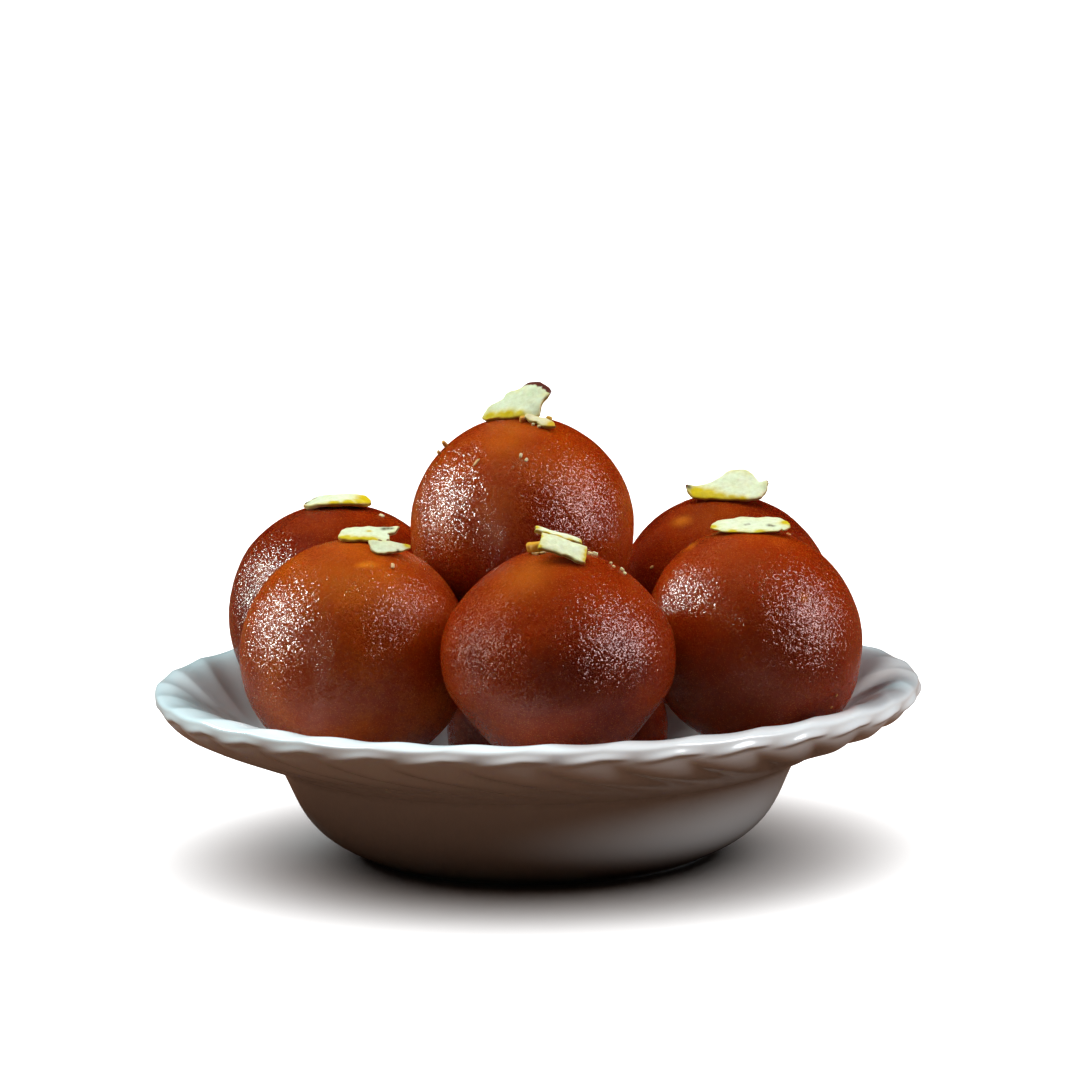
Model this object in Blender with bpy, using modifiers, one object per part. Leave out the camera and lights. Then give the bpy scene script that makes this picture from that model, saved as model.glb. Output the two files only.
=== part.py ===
"""Gulab jamun heaped in a shallow opal glass bowl, with almond slices on top.

Metres, +Z up. The origin is the middle of the foot's underside, and -Y is the front.
"""

import math

import bmesh
import bpy
from mathutils import Matrix, Vector

# --- bowl ---------------------------------------------------------------------------------
RIM_RADIUS = 0.0850         # outer edge of the rim
RIM_HEIGHT = 0.0395         # top of the rim
GLASS = 0.0040              # wall thickness
FOOT_RADIUS = 0.0376
FOOT_INNER_RADIUS = 0.0330  # inside edge of the foot ring
FOOT_HEIGHT = 0.0006
FOOT_RECESS = 0.0009        # how far the base is raised inside the foot ring
WELL_TOP_RADIUS = 0.0580    # outside, where the steep wall turns out into the flare
WELL_TOP_HEIGHT = 0.0218
FLARE_SLOPE = math.radians(25.0)
FLARE_END_RADIUS = 0.0790   # outside, where the flare starts to curl up to the rim
LIP_WIDTH = 0.0050          # the flat band on top of the rim
LIP_FALL = 0.0006           # how far that band drops towards the well
FLOOR_HEIGHT = 0.0042       # inside
FLOOR_RADIUS = 0.0350

# --- flutes pressed into the flare ---------------------------------------------------------
FLUTES = 32
FLUTE_STEPS = 4             # facets across one flute
FLUTE_DEPTH = 0.0012
FLUTE_EDGE_SHARE = 0.35     # depth left at the outer edge, as a share
FLUTE_TURN = math.radians(26.0)     # how far a flute swirls from the rim to the well
FLUTE_PHASE = math.radians(3.5 + 270.0)
FLUTE_START_RADIUS = 0.0590
FLUTE_FULL_RADIUS = 0.0780

# --- balls ---------------------------------------------------------------------------------
BALL_SUBDIVISIONS = 3
BALL_UNEVENNESS = 0.006     # largest swell of the surface, as a share of the radius
# name: middle of the widest level, half width, height above it and depth below it,
# roundness above and below (2 is round, less is drawn to a point, more is squat),
# lean of the axis towards +X and +Y, seed of the unevenness
BALLS = {
    "ball_front": ((0.0047, -0.0545, 0.0535), 0.0250, (0.0231, 0.0279), (1.8, 1.5), (-0.005, 0.00), 1),
    "ball_front_left": ((-0.0392, -0.0300, 0.0500), 0.0252, (0.0254, 0.0247), (2.0, 2.0), (0.00, 0.00), 2),
    "ball_front_right": ((0.0474, -0.0285, 0.0525), 0.0236, (0.0238, 0.0242), (2.0, 2.2), (-0.05, 0.00), 3),
    "ball_back_left": ((-0.0447, 0.0215, 0.0508), 0.0247, (0.0250, 0.0251), (2.15, 2.0), (0.02, 0.00), 4),
    "ball_back_right": ((0.0428, 0.0228, 0.0507), 0.0249, (0.0257, 0.0258), (2.0, 2.0), (0.00, 0.00), 5),
    "ball_back": ((-0.0015, 0.0515, 0.0504), 0.0248, (0.0240, 0.0247), (2.0, 2.0), (0.00, 0.00), 6),
    "ball_under": ((0.0045, 0.0020, 0.0266), 0.0246, (0.0222, 0.0221), (2.1, 2.3), (0.00, 0.00), 7),
    "ball_top": ((-0.0026, -0.0045, 0.0735), 0.0248, (0.0249, 0.0248), (2.0, 2.0), (0.00, 0.00), 8),
}

# --- almond slices -------------------------------------------------------------------------
FLAKE_COLUMNS = 6
FLAKE_ROWS = 3
# name: the ball it lies on, its middle from that ball's crown, turn in degrees about X, Y and Z,
# (length, width, thickness), squareness of the outline (0 oval, 1 rectangle),
# narrowing towards +X, rise of the middle over the ends, rise of the back edge
FLAKES = {
    "almond_top": ("ball_top", (-0.0003, 0.0020, 0.0026), (33, -21, 0),
                   (0.0150, 0.0068, 0.0011), 0.1, -0.60, 0.0006, 0.0008),
    "almond_top_lower": ("ball_top", (0.0044, -0.0061, -0.0001), (20, 8, -15),
                         (0.0068, 0.0034, 0.0010), 0.3, 0.10, 0.0002, 0.0000),
    "almond_back_left": ("ball_back_left", (0.0000, -0.0005, 0.0006), (4, 0, 0),
                         (0.0150, 0.0080, 0.0013), 0.3, 0.00, 0.0003, 0.0004),
    "almond_front_left_upper": ("ball_front_left", (0.0034, 0.0000, 0.0009), (11, 1, 0),
                                (0.0132, 0.0082, 0.0011), 0.3, -0.20, 0.0003, 0.0000),
    "almond_front_left_lower": ("ball_front_left", (0.0078, -0.0062, -0.0012), (15, 10, 8),
                                (0.0088, 0.0040, 0.0010), 0.2, 0.30, 0.0002, 0.0000),
    "almond_front_slab": ("ball_front", (0.0014, -0.0058, 0.0010), (27, 19, 0),
                          (0.0103, 0.0058, 0.0012), 0.9, 0.00, 0.0002, 0.0000),
    "almond_front_strip": ("ball_front", (0.0006, 0.0025, 0.0022), (10, 17, 0),
                           (0.0107, 0.0034, 0.0013), 0.9, 0.00, 0.0000, 0.0000),
    "almond_back_right": ("ball_back_right", (0.0013, 0.0002, 0.0015), (27, -3, 0),
                          (0.0186, 0.0080, 0.0011), 0.0, -0.50, 0.0008, 0.0010),
    "almond_front_right": ("ball_front_right", (0.0006, -0.0005, 0.0006), (8, 0, 0),
                           (0.0172, 0.0082, 0.0012), 0.1, 0.00, 0.0003, 0.0000),
    "almond_back": ("ball_back", (0.0000, 0.0000, 0.0005), (0, 3, 25),
                    (0.0150, 0.0088, 0.0011), 0.1, 0.20, 0.0003, 0.0000),
}


def remove_everything():
    """Empty the scene the script was started in."""
    for obj in list(bpy.data.objects):
        bpy.data.objects.remove(obj, do_unlink=True)


def make_material(name, color, roughness, metallic=0.0):
    material = bpy.data.materials.new(name)
    material.use_nodes = True
    shader = material.node_tree.nodes["Principled BSDF"]
    shader.inputs["Base Color"].default_value = (*color, 1.0)
    shader.inputs["Roughness"].default_value = roughness
    shader.inputs["Metallic"].default_value = metallic
    material.diffuse_color = (*color, 1.0)
    return material


def new_object(name, mesh, material, collection):
    obj = bpy.data.objects.new(name, mesh)
    obj.data.materials.append(material)
    collection.objects.link(obj)
    return obj


# --- bowl ---------------------------------------------------------------------------------

def bezier(p0, p1, p2, p3, count):
    """Points at equal parameter steps on a cubic curve, both ends included."""
    points = []
    for i in range(count):
        t = i / (count - 1)
        a, b, c, d = (1 - t) ** 3, 3 * t * (1 - t) ** 2, 3 * t * t * (1 - t), t ** 3
        points.append(tuple(a * p0[k] + b * p1[k] + c * p2[k] + d * p3[k] for k in (0, 1)))
    return points


def ahead(point, angle, distance):
    return point[0] + distance * math.cos(angle), point[1] + distance * math.sin(angle)


def flare_underside(radius):
    return WELL_TOP_HEIGHT + (radius - WELL_TOP_RADIUS) * math.tan(FLARE_SLOPE)


def flare_top(radius):
    """Inside surface of the flare: the underside moved up by the glass, square to the slope."""
    return flare_underside(radius) + GLASS / math.cos(FLARE_SLOPE)


def bowl_profile():
    """Half section as (radius, height), from the floor's middle over the rim to the foot."""
    wall_start, wall_end = math.radians(20.0), math.radians(60.0)
    foot = (FOOT_RADIUS + 0.0003, FOOT_HEIGHT)
    well_top = (WELL_TOP_RADIUS, WELL_TOP_HEIGHT)
    outer_wall = bezier(foot, ahead(foot, wall_start, 0.017),
                        ahead(well_top, wall_end, -0.0095), well_top, 5)

    curl_start = (FLARE_END_RADIUS, flare_underside(FLARE_END_RADIUS))
    edge = (RIM_RADIUS, RIM_HEIGHT - 0.0011)
    curl = bezier(curl_start, ahead(curl_start, FLARE_SLOPE, 0.0036),
                  ahead(edge, math.radians(80.0), -0.0032), edge, 3)

    lip_outer = (RIM_RADIUS - 0.0010, RIM_HEIGHT)
    lip_inner = (RIM_RADIUS - LIP_WIDTH, RIM_HEIGHT - LIP_FALL)
    riser_top = (lip_inner[0] - 0.0012, lip_inner[1] - 0.0009)
    riser_foot = (FLARE_END_RADIUS - 0.0027, flare_top(FLARE_END_RADIUS - 0.0027))

    inner_corner = (WELL_TOP_RADIUS - 0.0010, flare_top(WELL_TOP_RADIUS - 0.0010))
    below_corner = (WELL_TOP_RADIUS - 0.0030, flare_top(WELL_TOP_RADIUS) - 0.0023)
    floor_edge = (FLOOR_RADIUS, FLOOR_HEIGHT)
    inner_wall = bezier(floor_edge, ahead(floor_edge, 0.0, 0.014),
                        ahead(below_corner, wall_end, -0.0090), below_corner, 4)

    inside_flare = [(r, flare_top(r)) for r in (0.0620, 0.0690)]
    outside_flare = [(r, flare_underside(r)) for r in (0.0720, 0.0650)]

    return ([(0.0, FLOOR_HEIGHT)] + inner_wall + [inner_corner] + inside_flare
            + [riser_foot, riser_top, lip_inner, lip_outer] + curl[::-1] + outside_flare
            + outer_wall[::-1]
            + [(FOOT_RADIUS, 0.0), (FOOT_INNER_RADIUS, 0.0),
               (FOOT_INNER_RADIUS - 0.0012, FOOT_RECESS), (0.0, FOOT_RECESS)])


def flute_drop(radius, angle):
    """How far the flare is pressed down: one hollow in each of the flutes' shares."""
    inward = (RIM_RADIUS - radius) / (RIM_RADIUS - WELL_TOP_RADIUS)
    wave = 0.5 + 0.5 * math.cos(FLUTES * (angle - FLUTE_PHASE - FLUTE_TURN * inward))
    rise = min(max((radius - FLUTE_START_RADIUS) / (FLUTE_FULL_RADIUS - FLUTE_START_RADIUS), 0.0), 1.0)
    rise = rise * rise * (3 - 2 * rise)
    edge = min(max((RIM_RADIUS - radius) / LIP_WIDTH, 0.0), 1.0)
    return FLUTE_DEPTH * wave * rise * (FLUTE_EDGE_SHARE + (1 - FLUTE_EDGE_SHARE) * edge)


def make_bowl(material, collection):
    """Turn the half section, then press the flutes into the flare."""
    profile = bowl_profile()
    mesh = bpy.data.meshes.new("bowl_profile")
    mesh.from_pydata([(r, 0.0, z) for r, z in profile],
                     [(i, i + 1) for i in range(len(profile) - 1)], [])
    turned = new_object("bowl_profile", mesh, material, collection)
    screw = turned.modifiers.new("turn", "SCREW")
    screw.steps = FLUTES * FLUTE_STEPS
    screw.render_steps = FLUTES * FLUTE_STEPS
    screw.use_merge_vertices = True
    screw.merge_threshold = 0.00001

    evaluated = turned.evaluated_get(bpy.context.evaluated_depsgraph_get())
    bowl_mesh = bpy.data.meshes.new_from_object(evaluated)
    bpy.data.objects.remove(turned, do_unlink=True)

    bm = bmesh.new()
    bm.from_mesh(bowl_mesh)
    bmesh.ops.remove_doubles(bm, verts=bm.verts, dist=0.00001)
    bmesh.ops.rotate(bm, verts=bm.verts, matrix=Matrix.Rotation(FLUTE_PHASE, 3, "Z"))
    for vert in bm.verts:
        radius = math.hypot(vert.co.x, vert.co.y)
        vert.co.z -= flute_drop(radius, math.atan2(vert.co.y, vert.co.x))
    bmesh.ops.triangulate(bm, faces=bm.faces)
    bm.to_mesh(bowl_mesh)
    bm.free()
    bowl_mesh.name = "bowl"
    bowl = new_object("bowl", bowl_mesh, material, collection)
    bowl_mesh.shade_smooth()
    bowl_mesh.set_sharp_from_angle(angle=math.radians(40.0))
    return bowl


# --- balls ---------------------------------------------------------------------------------

def unevenness(direction, seed):
    """Soft swells, the same for every ball but for the seed's phases."""
    x, y, z = direction
    swell = (math.sin(2.1 * x + 1.7 * seed) * math.cos(1.8 * y - 0.9 * seed)
             + 0.6 * math.sin(3.2 * z + 2.3 * seed + 1.3 * x)
             + 0.4 * math.cos(3.9 * y + 1.1 * seed - 1.7 * z))
    return BALL_UNEVENNESS * swell / 2.0


def make_ball(name, middle, half_width, heights, roundness, lean, seed, material, collection):
    """A ball whose meridian is a superellipse with its own height and roundness above and below."""
    bm = bmesh.new()
    bmesh.ops.create_icosphere(bm, subdivisions=BALL_SUBDIVISIONS, radius=1.0)
    for vert in bm.verts:
        side = 0 if vert.co.z >= 0 else 1
        level = abs(vert.co.z)
        around = math.hypot(vert.co.x, vert.co.y)
        power = 2.0 / roundness[side]
        swell = 1 + unevenness(vert.co, seed)
        height = math.copysign(heights[side] * level ** power, vert.co.z) * swell
        width = half_width * around ** power * swell
        turn = math.atan2(vert.co.y, vert.co.x)
        vert.co = Vector((width * math.cos(turn) + lean[0] * height,
                          width * math.sin(turn) + lean[1] * height, height))
    mesh = bpy.data.meshes.new(name)
    bm.to_mesh(mesh)
    bm.free()
    mesh.shade_smooth()
    ball = new_object(name, mesh, material, collection)
    ball.location = middle
    return ball


# --- almond slices -------------------------------------------------------------------------

def crown_of(ball_name):
    """The ball's highest point."""
    middle, _, heights, _, lean, _ = BALLS[ball_name]
    return Vector(middle) + heights[0] * Vector((lean[0], lean[1], 1.0))


def make_flake(name, ball_name, offset, turn, size, squareness, narrowing, arch, curl,
               material, collection):
    """A thin slice: a square grid drawn in to an oval outline, bent, and given its thickness."""
    length, width, thickness = size
    bm = bmesh.new()
    bmesh.ops.create_grid(bm, x_segments=FLAKE_COLUMNS, y_segments=FLAKE_ROWS, size=1.0)
    for vert in bm.verts:
        u, v = vert.co.x, vert.co.y
        along = u * (1 - (1 - squareness) * (1 - math.sqrt(1 - v * v / 2)))
        across = v * (1 - (1 - squareness) * (1 - math.sqrt(1 - u * u / 2))) * (1 - narrowing * along)
        height = arch * (1 - along * along) + curl * max(across, 0.0) ** 2
        vert.co = Vector((along * length / 2, across * width / 2, height))
    mesh = bpy.data.meshes.new(name)
    bm.to_mesh(mesh)
    bm.free()
    flake = new_object(name, mesh, material, collection)
    flake.location = crown_of(ball_name) + Vector(offset)
    flake.rotation_euler = [math.radians(angle) for angle in turn]
    solidify = flake.modifiers.new("thickness", "SOLIDIFY")
    solidify.thickness = thickness
    solidify.offset = 0.0
    solidify.use_even_offset = True
    return flake


def main():
    remove_everything()
    collection = bpy.data.collections.new("gulab_jamun_bowl")
    bpy.context.scene.collection.children.link(collection)
    opal_glass = make_material("opal_glass", (0.80, 0.82, 0.82), 0.12)
    fried_dough = make_material("fried_dough", (0.28, 0.07, 0.015), 0.25)
    almond = make_material("almond", (0.80, 0.74, 0.48), 0.45)
    make_bowl(opal_glass, collection)
    for name, values in BALLS.items():
        make_ball(name, *values, fried_dough, collection)
    for name, values in FLAKES.items():
        make_flake(name, *values, almond, collection)


main()
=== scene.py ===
"""Finish of a bowl of gulab jamun: fluted opal glass, pebbled syrupy sweets, sliced almonds and crumbs.

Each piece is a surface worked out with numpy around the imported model, which stays as it is.
"""

import itertools
import math

import bmesh
import bpy
import numpy as np
from bpy.props import FloatProperty, FloatVectorProperty, IntProperty, PointerProperty
from mathutils import Matrix, Vector


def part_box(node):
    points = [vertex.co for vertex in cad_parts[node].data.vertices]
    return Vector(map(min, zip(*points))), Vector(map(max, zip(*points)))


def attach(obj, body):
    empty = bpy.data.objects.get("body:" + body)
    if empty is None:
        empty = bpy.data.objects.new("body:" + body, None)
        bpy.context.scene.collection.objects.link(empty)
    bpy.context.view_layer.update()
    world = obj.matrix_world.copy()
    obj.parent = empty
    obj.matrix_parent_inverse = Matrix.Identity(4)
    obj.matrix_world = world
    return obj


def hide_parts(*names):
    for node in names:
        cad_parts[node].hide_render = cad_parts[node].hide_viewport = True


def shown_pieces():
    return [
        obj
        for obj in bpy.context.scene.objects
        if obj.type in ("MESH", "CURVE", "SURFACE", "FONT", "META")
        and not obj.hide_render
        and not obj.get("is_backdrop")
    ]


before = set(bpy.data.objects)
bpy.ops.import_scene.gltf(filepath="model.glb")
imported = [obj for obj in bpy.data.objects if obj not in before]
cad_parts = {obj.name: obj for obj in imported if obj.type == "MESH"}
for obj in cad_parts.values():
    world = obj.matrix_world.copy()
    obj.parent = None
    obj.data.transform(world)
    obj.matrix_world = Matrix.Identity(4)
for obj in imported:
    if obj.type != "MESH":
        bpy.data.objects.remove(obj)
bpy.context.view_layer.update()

bl_info = {
    "name": "Gulab jamun bowl",
    "version": (1, 0, 0),
    "blender": (4, 5, 0),
    "location": "View3D > Sidebar > Sweets",
    "description": "Makes a heap of gulab jamun with sliced almonds in a fluted opal glass bowl",
    "category": "Add Mesh",
}

MM = 0.001
BODY = "root"
REST_GAP = 0.05 * MM  # between a slice and the sweet that it lies on
WELD = 0.0001 * MM  # points nearer than this are joined
STEPS_A_FLUTE = 16
SLICE_STEPS = (72, 30)  # along an almond slice and across it
UNEVENNESS = 0.003  # of a sweet, as a share of its half width
DENT_SIZE, LUMP_SIZE = 7.0, 2.6  # in mm
AMBER_GLINT_BELOW = 25.0  # crumbs lower on a sweet than this many degrees under its middle get the full syrup colour, which paints glints there
FLOOR_REACH = 30.0  # in metres, each way
NEAR_WINDOW = ("sweet_top", "sweet_front_left", "sweet_front_right", "sweet_back_left")
BOWL_LOW, BOWL_HIGH = (np.array(corner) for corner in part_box("bowl"))

# --- how each sweet is shaped ---
# name: height above its widest level and depth below it, as shares of the half width, roundness
# above and below (2 is round, less is drawn to a point, more is squat), lean of the axis towards
# +X and +Y, seed of the unevenness, tone (0 dark red, 1 amber)
# The tones paint light and shade: the sweets where the light falls are set more amber, and the front one
# and those at the back and underneath, which lie in shade, are set darker.
SWEETS = {
    "ball_front": ((0.924, 1.116), (1.8, 1.5), (-0.005, 0), 1, 0.3),
    "ball_front_left": ((1.008, 0.98), (2, 2), (0, 0), 2, 0.85),
    "ball_front_right": ((1.008, 1.025), (2, 2.2), (-0.05, 0), 3, 0.5),
    "ball_back_left": ((1.012, 1.016), (2.15, 2), (0.02, 0), 4, 0.1),
    "ball_back_right": ((1.032, 1.036), (2, 2), (0, 0), 5, 0),
    "ball_back": ((0.968, 0.996), (2, 2), (0, 0), 6, 0.5),
    "ball_under": ((0.902, 0.898), (2.1, 2.3), (0, 0), 7, 0),
    "ball_top": ((1.004, 1), (2, 2), (0, 0), 8, 0.85),
}

# --- how each almond slice is cut and lies ---
# turn: degrees about X, Y and Z. back, front: the two long edges from the left end to the right
# one, in mm in the slice's own plane. bends: (x, y, reach, rise) in mm. yellow, skin, marks:
# spots (x, y, reach) in mm. rests_on: the sweet that the slice is lowered on to, where it isn't
# held up by another slice. thick: in mm.
ALMONDS = {
    "almond_top": dict(
        turn=(33, -21, 0), thick=1, rests_on="ball_top",
        back=[(-9, -1.4), (-7.2, 0.6), (-3.6, 1.6), (-1.4, 3), (1.6, 2.6), (2.8, 3.2),
              (4.9, 2.3), (6.9, -0.8), (7.2, -2.2)],
        front=[(-8.8, -2.4), (-6, -4.1), (-3, -5.6), (0, -6.8), (2, -7.6), (3.2, -7),
               (4.6, -4.7), (6.6, -3)],
        bends=[(3, -7.8, 2.4, -0.9), (-8.5, -2, 3, -0.3), (3, 1, 3, 0.4)],
        yellow=[(-7.2, -2.9, 1.6), (-5.2, -3.9, 1.6), (-3.2, -4.9, 1.6), (-1, -5.9, 1.2)],
        skin=[(2.2, 3, 0.9), (3.5, 3, 1.3), (4.7, 2.4, 1.4), (5.8, 1, 1.3), (6.7, -0.6, 1.1),
              (7.1, -1.9, 0.9)],
        marks=[(6.4, -4.2, 0.7)]),
    "almond_top_lower": dict(
        turn=(20, 8, -15), thick=0.9, rests_on="ball_top",
        back=[(-3.8, 1.2), (-2.6, 1.8), (-0.8, 1.4), (1.4, 1.3), (3.4, 0.2)],
        front=[(-3.8, 0.4), (-2.2, -0.5), (-0.4, -0.7), (1.2, -1.6), (2.8, -1.5), (3.8, -0.9)],
        bends=[(-3.6, 0.8, 1.6, 0.5)], yellow=[(3, -0.8, 1.3)], skin=[(0.6, 1.7, 0.4)],
        syrup=0.25),
    "almond_back_left": dict(
        turn=(4, 0, 0), thick=1.2, rests_on="ball_back_left",
        back=[(-7.4, 1.8), (-5.2, 3.6), (-2, 4.2), (2.6, 4.1), (5.8, 3.2), (7.4, 0.9)],
        front=[(-7.5, -0.6), (-6, -2.8), (-2, -3.8), (2.6, -4), (5.8, -3.2), (7.4, -0.8)],
        bends=[(-7, 1.8, 2.4, -0.9), (-6.6, -1.6, 2.4, -0.8), (-2.2, 1.6, 2.2, 0.55),
               (2.4, 1.2, 3.4, 0.35), (7, -1, 3, -0.7)],
        yellow=[(6.6, 0.6, 2.6), (5.6, -2, 2), (2.6, -3.4, 1.3), (-0.6, -3.4, 1.1)],
        skin=[(-7.4, 0.4, 0.5)], marks=[(-5.6, 3.2, 0.8), (-7.2, 1.4, 0.7)]),
    "almond_front_left_upper": dict(
        turn=(14, 1, 0), thick=0.9,
        back=[(-6.4, 0.4), (-5, 2.8), (-3.4, 3.7), (1.3, 3.9), (4.4, 3.5), (6.6, 3.6)],
        front=[(-6.4, -0.8), (-5.2, -2.9), (-1.8, -3.3), (1.7, -3.5), (4.2, -3.9), (4.8, -2.2),
               (4.2, -0.4), (5.8, 1), (6.4, 2.6)],
        bends=[(-6, 0, 1.8, -0.3), (6, 3, 1.6, 0.4)],
        yellow=[(-5, -2.2, 1.5), (-3, -3.1, 1.3), (-1, -3.3, 1.3), (0.9, -3.3, 1.1),
                (0.1, 0.9, 0.6)],
        skin=[(2.4, -3.8, 0.6), (4.5, -3.7, 0.6), (4.4, -0.5, 0.4)],
        marks=[(3.3, 2.3, 0.7), (4.2, 2.4, 0.6), (4.9, 2.2, 0.5)]),
    "almond_front_left_lower": dict(
        turn=(34, 9, 6), thick=0.7, rests_on="ball_front_left",
        back=[(-4.5, 1.4), (-1.6, 2), (1.5, 2.1), (4.8, 1.7)],
        front=[(-4.3, 0.4), (-3.7, -1.6), (-2.6, -2.2), (0.6, -1.6), (3.2, -0.3), (4.8, 1.2)],
        yellow=[(4.2, 1.5, 0.9)], marks=[(2, -0.6, 0.3)]),
    "almond_front_slab": dict(
        turn=(27, 19, 0), thick=1.1,
        back=[(-5.2, 2.7), (-2, 2.8), (2, 2.7), (5, 2.6)],
        front=[(-5, -3), (-2, -3), (2, -3.1), (4.9, -3.4), (5.3, -3)],
        bends=[(0, 0, 4.5, 0.15)],
        yellow=[(5.5, -2.4, 0.9), (5.5, -0.8, 0.9), (5.4, 0.8, 0.8), (-4.9, -2.8, 0.6), (-5.2, 1, 0.5)]),
    "almond_front_strip": dict(
        turn=(10, 17, 0), thick=1.1,
        back=[(-5.3, 1.7), (-1.6, 1.5), (2, 1.3), (5.2, 1)],
        front=[(-5.2, -1.2), (-1.6, -1.5), (2, -1.6), (5.3, -1.3)],
        yellow=[(-5.2, 0.4, 0.9), (5.2, -0.4, 0.8), (0, -1.8, 0.9), (-2.6, -1.7, 0.9),
                (2.6, -1.8, 0.9)]),
    "almond_back_right": dict(
        turn=(27, -3, 0), thick=1, rests_on="ball_back_right",
        back=[(-9.6, -0.6), (-8.2, -0.8), (-5.5, -0.1), (-3.4, 0.9), (-1.5, 2.3), (0.7, 4.1),
              (3, 4.4), (5.6, 2.9), (6.6, 0.4), (7.4, -1.6), (8.8, -1.2)],
        front=[(-9.6, -1.4), (-8.6, -4.2), (-5, -5.8), (-0.5, -6.8), (3.3, -7.3), (6.4, -7),
               (8, -5), (9, -2.4)],
        bends=[(8.8, -2.2, 1.6, 0.9), (-9.4, -1, 1.8, 0.6), (2, 3, 3.5, 0.5)],
        yellow=[(-7, -3.4, 2), (-4.8, -4.4, 2.2), (-2.4, -5.8, 1.8), (0.4, -6.8, 1.3), (2.6, -7.2, 1)],
        skin=[(-9.6, -1, 0.6), (9, -1.8, 0.5)], marks=[(-9, -1.6, 0.7), (8.9, -1.4, 0.6)]),
    "almond_front_right": dict(
        turn=(15, 0, 0), thick=0.5, rests_on="ball_front_right",
        back=[(-8.6, -0.9), (-7, 1.9), (-3.4, 3.4), (0.4, 3.7), (1.2, 3.3), (4.2, 3.9),
              (6.6, 3.2), (7.8, 1.2), (8.6, -1)],
        front=[(-8.6, -1.6), (-6.8, -3.4), (-3.5, -4.3), (1.9, -4.6), (5.6, -4), (6.9, -3),
               (7.2, -3.4), (8.6, -2.2)],
        bends=[(8, -1, 2, 0.3)], skin=[(8, 2.2, 0.7)],
        yellow=[(-8.2, -1.4, 1), (-4, -4.2, 0.9), (2, -4.5, 1), (7.8, 0, 1.2)],
        marks=[(-0.9, -0.6, 0.35), (-0.3, -0.3, 0.4), (4.2, -1.2, 0.6), (4.9, -1.5, 0.5)]),
    "almond_back": dict(
        turn=(0, 3, 25), thick=1, rests_on="ball_back",
        back=[(-7.4, 0.6), (-5.4, 3), (-1, 4.2), (3.6, 3.6), (7.2, 0.8)],
        front=[(-7.4, -0.5), (-5.6, -2.8), (-1, -4.1), (3.6, -3.4), (7.2, -0.4)],
        yellow=[(5.6, -1, 2)], skin=[(-7.2, 0.2, 0.8)]),
}

# --- crumbs and bare spots ---
# chips and crumbs of almond: sweet, bearing and height angle on it in degrees, (length, width,
# height) in mm, turn in degrees, how yellow, how far sunk in
CRUMBS = [
    ("ball_front", -160, 79, (3.4, 4.6, 2.4), -24, 0.95, 0.1),
    ("ball_front", -145, 76, (2, 0.8, 0.6), 10, 0.2, 0.2),
    ("ball_front", -130, 78, (1.4, 0.8, 0.5), 50, 0.1, 0.2),
    ("ball_front", -5, 71, (1.4, 0.9, 0.8), 20, 0.3, 0.3),
    ("ball_front", 12, 68, (1.2, 0.9, 0.9), 60, 0.1, 0.3),
    ("ball_front", -6, 60, (0.9, 0.6, 0.6), 0, 0.2, 0.3),
    ("ball_front", -12, 58, (0.8, 0.6, 0.5), 40, 0.1, 0.3),
    ("ball_front", -4, 54, (1.2, 0.8, 0.8), -30, 0.1, 0.3),
    ("ball_front", -9, 52, (0.9, 0.7, 0.5), 15, 0.2, 0.3),
    ("ball_top", -83, 79, (1.6, 1.2, 1.4), 0, 0.8, 0.2),
    ("ball_top", -26, 74, (2, 1.6, 1.6), 30, 0.9, 0.2),
    ("ball_top", -67, 73, (0.7, 0.6, 0.6), 0, 0, 0.2),
    ("ball_top", -61, 70, (0.8, 0.7, 0.7), 20, 0, 0.2),
    ("ball_top", -176, 49, (1.3, 0.9, 1.9), 0, 0.7, 0.2),
    ("ball_top", -174, 44, (1.1, 0.8, 1.2), 0, 0.4, 0.3),
    ("ball_top", -122, 43, (2, 0.7, 0.5), 75, 0, 0.4),
    ("ball_top", -90, 48, (1.1, 0.7, 0.5), 80, 0.1, 0.4),
    ("ball_top", -86, 45, (1, 0.7, 0.5), 60, 0.1, 0.4),
    ("ball_front_left", -52, 56, (1.4, 0.9, 0.7), 60, 0, 0.2),
    ("ball_front_left", -10, 66, (1, 0.8, 0.9), 0, 0.3, 0.2),
    ("ball_front_left", -20, 74, (0.7, 0.6, 0.5), 0, 0.1, 0.2),
    ("ball_back_left", -20, 66, (1.6, 1.2, 0.5), 0, 0, 0.5),
    ("ball_front_right", 20, 66, (1, 0.8, 0.5), 0, 0, 0.3),
    # These two low crumbs are made fully amber, which paints glints there.
    ("ball_front_right", -41, -32, (0.7, 0.5, 0.4), 0, 0.3, 0.5),
    ("ball_front_right", -40, -25, (0.8, 0.5, 0.4), 60, 0.3, 0.5),
    ("ball_back_right", -138, 27, (0.9, 0.6, 0.5), 45, 0, 0.3),
]

# bare, paler spots in the skin and broad soft patches of painted light: sweet, bearing and height
# angle in degrees, reach along and up in mm, strength
PATCHES_AND_PAINTED_GLOW = [
    ("ball_front_left", -76, 59, 2.9, 1.3, 1),
    ("ball_back_right", -133, 56, 2.6, 1.8, 0.7),
    ("ball_front_right", -174, 58, 2.2, 1.2, 0.7),
    ("ball_front_right", -59, 28, 0.9, 1, 0.6),
    # The broad soft patches facing the front left are painted light: an amber glow where the light falls on
    # the sweets.
    ("ball_top", -100, 62, 5, 9, 0.28),
    ("ball_top", -60, 76, 3, 2, 0.35),
    ("ball_front", -120, 58, 6.5, 6.5, 0.42),
    ("ball_front_left", -95, 50, 14, 9, 0.34),
    ("ball_front_right", -120, 55, 8, 7, 0.05),
    ("ball_back_left", -90, 62, 9, 7, 0.04),
    ("ball_back_right", -100, 62, 9, 6, 0.15),
    ("ball_back", 60, 55, 7, 5, 0.3),
]


# --- arrays into meshes ---

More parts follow.
